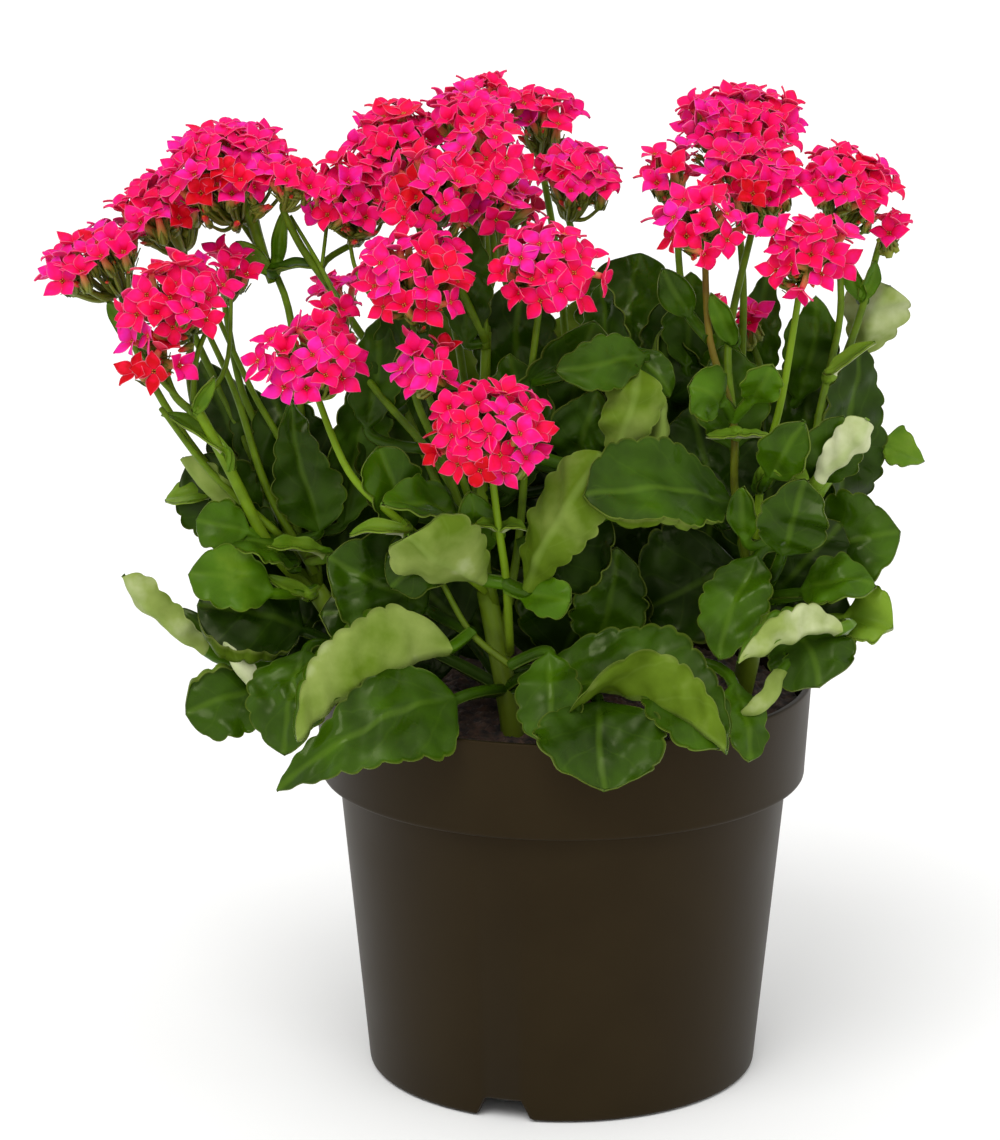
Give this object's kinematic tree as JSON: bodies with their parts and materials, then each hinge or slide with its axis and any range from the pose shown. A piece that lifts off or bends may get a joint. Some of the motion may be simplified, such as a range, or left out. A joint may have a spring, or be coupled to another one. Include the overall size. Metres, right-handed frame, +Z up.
{
  "type": "potted kalanchoe",
  "caption": "Flowering kalanchoe in a brown plastic nursery pot, with scalloped glossy leaves under domed heads of hot-pink four-petalled florets.",
  "frame": {"origin": "centre of the flat hub under the pot, on the surface that the pot stands on", "axes": "+Z up along the pot's axis to the flower heads; the front of the plant looks along -Y, with +X to its right"},
  "size_m": [0.2276, 0.1665, 0.2603],
  "materials": {
    "pot": "satin dark brown, moulded",
    "soil": "rough dark peat",
    "leaves": "glossy green, fleshy, scalloped",
    "petals": "soft hot pink petals"
  },
  "bodies": {
    "root": {"pot": "pot", "soil": "soil", "leafy_stem_left": "leaves", "leafy_stem_centre": "leaves", "leafy_stem_right": "leaves", "leafy_stem_back": "leaves", "head_far_left": "petals", "head_left_second": "petals", "head_left_top": "petals", "head_left_mid": "petals", "head_left_mid_back": "petals", "head_left_low": "petals", "head_front_centre": "petals", "head_centre_right": "petals", "head_centre_low": "petals", "head_centre_front": "petals", "head_front_left": "petals", "head_front_left_back": "petals", "head_summit_front": "petals", "head_summit_front_right": "petals", "head_summit_low_right": "petals", "head_summit_middle": "petals", "head_summit_left": "petals", "head_summit_back": "petals", "head_summit_far_left": "petals", "head_left_top_right": "petals", "head_right_front": "petals", "head_right_wide": "petals", "head_right_top": "petals", "head_right_low": "petals", "head_right_outer": "petals", "head_right_outer_low": "petals", "head_right_wide_left": "petals", "head_right_tiny": "petals", "head_back_right_top": "petals", "head_right_of_summit": "petals", "head_back_left": "petals", "head_back_middle": "petals", "head_back_right": "petals"}
  },
  "joints": []
}
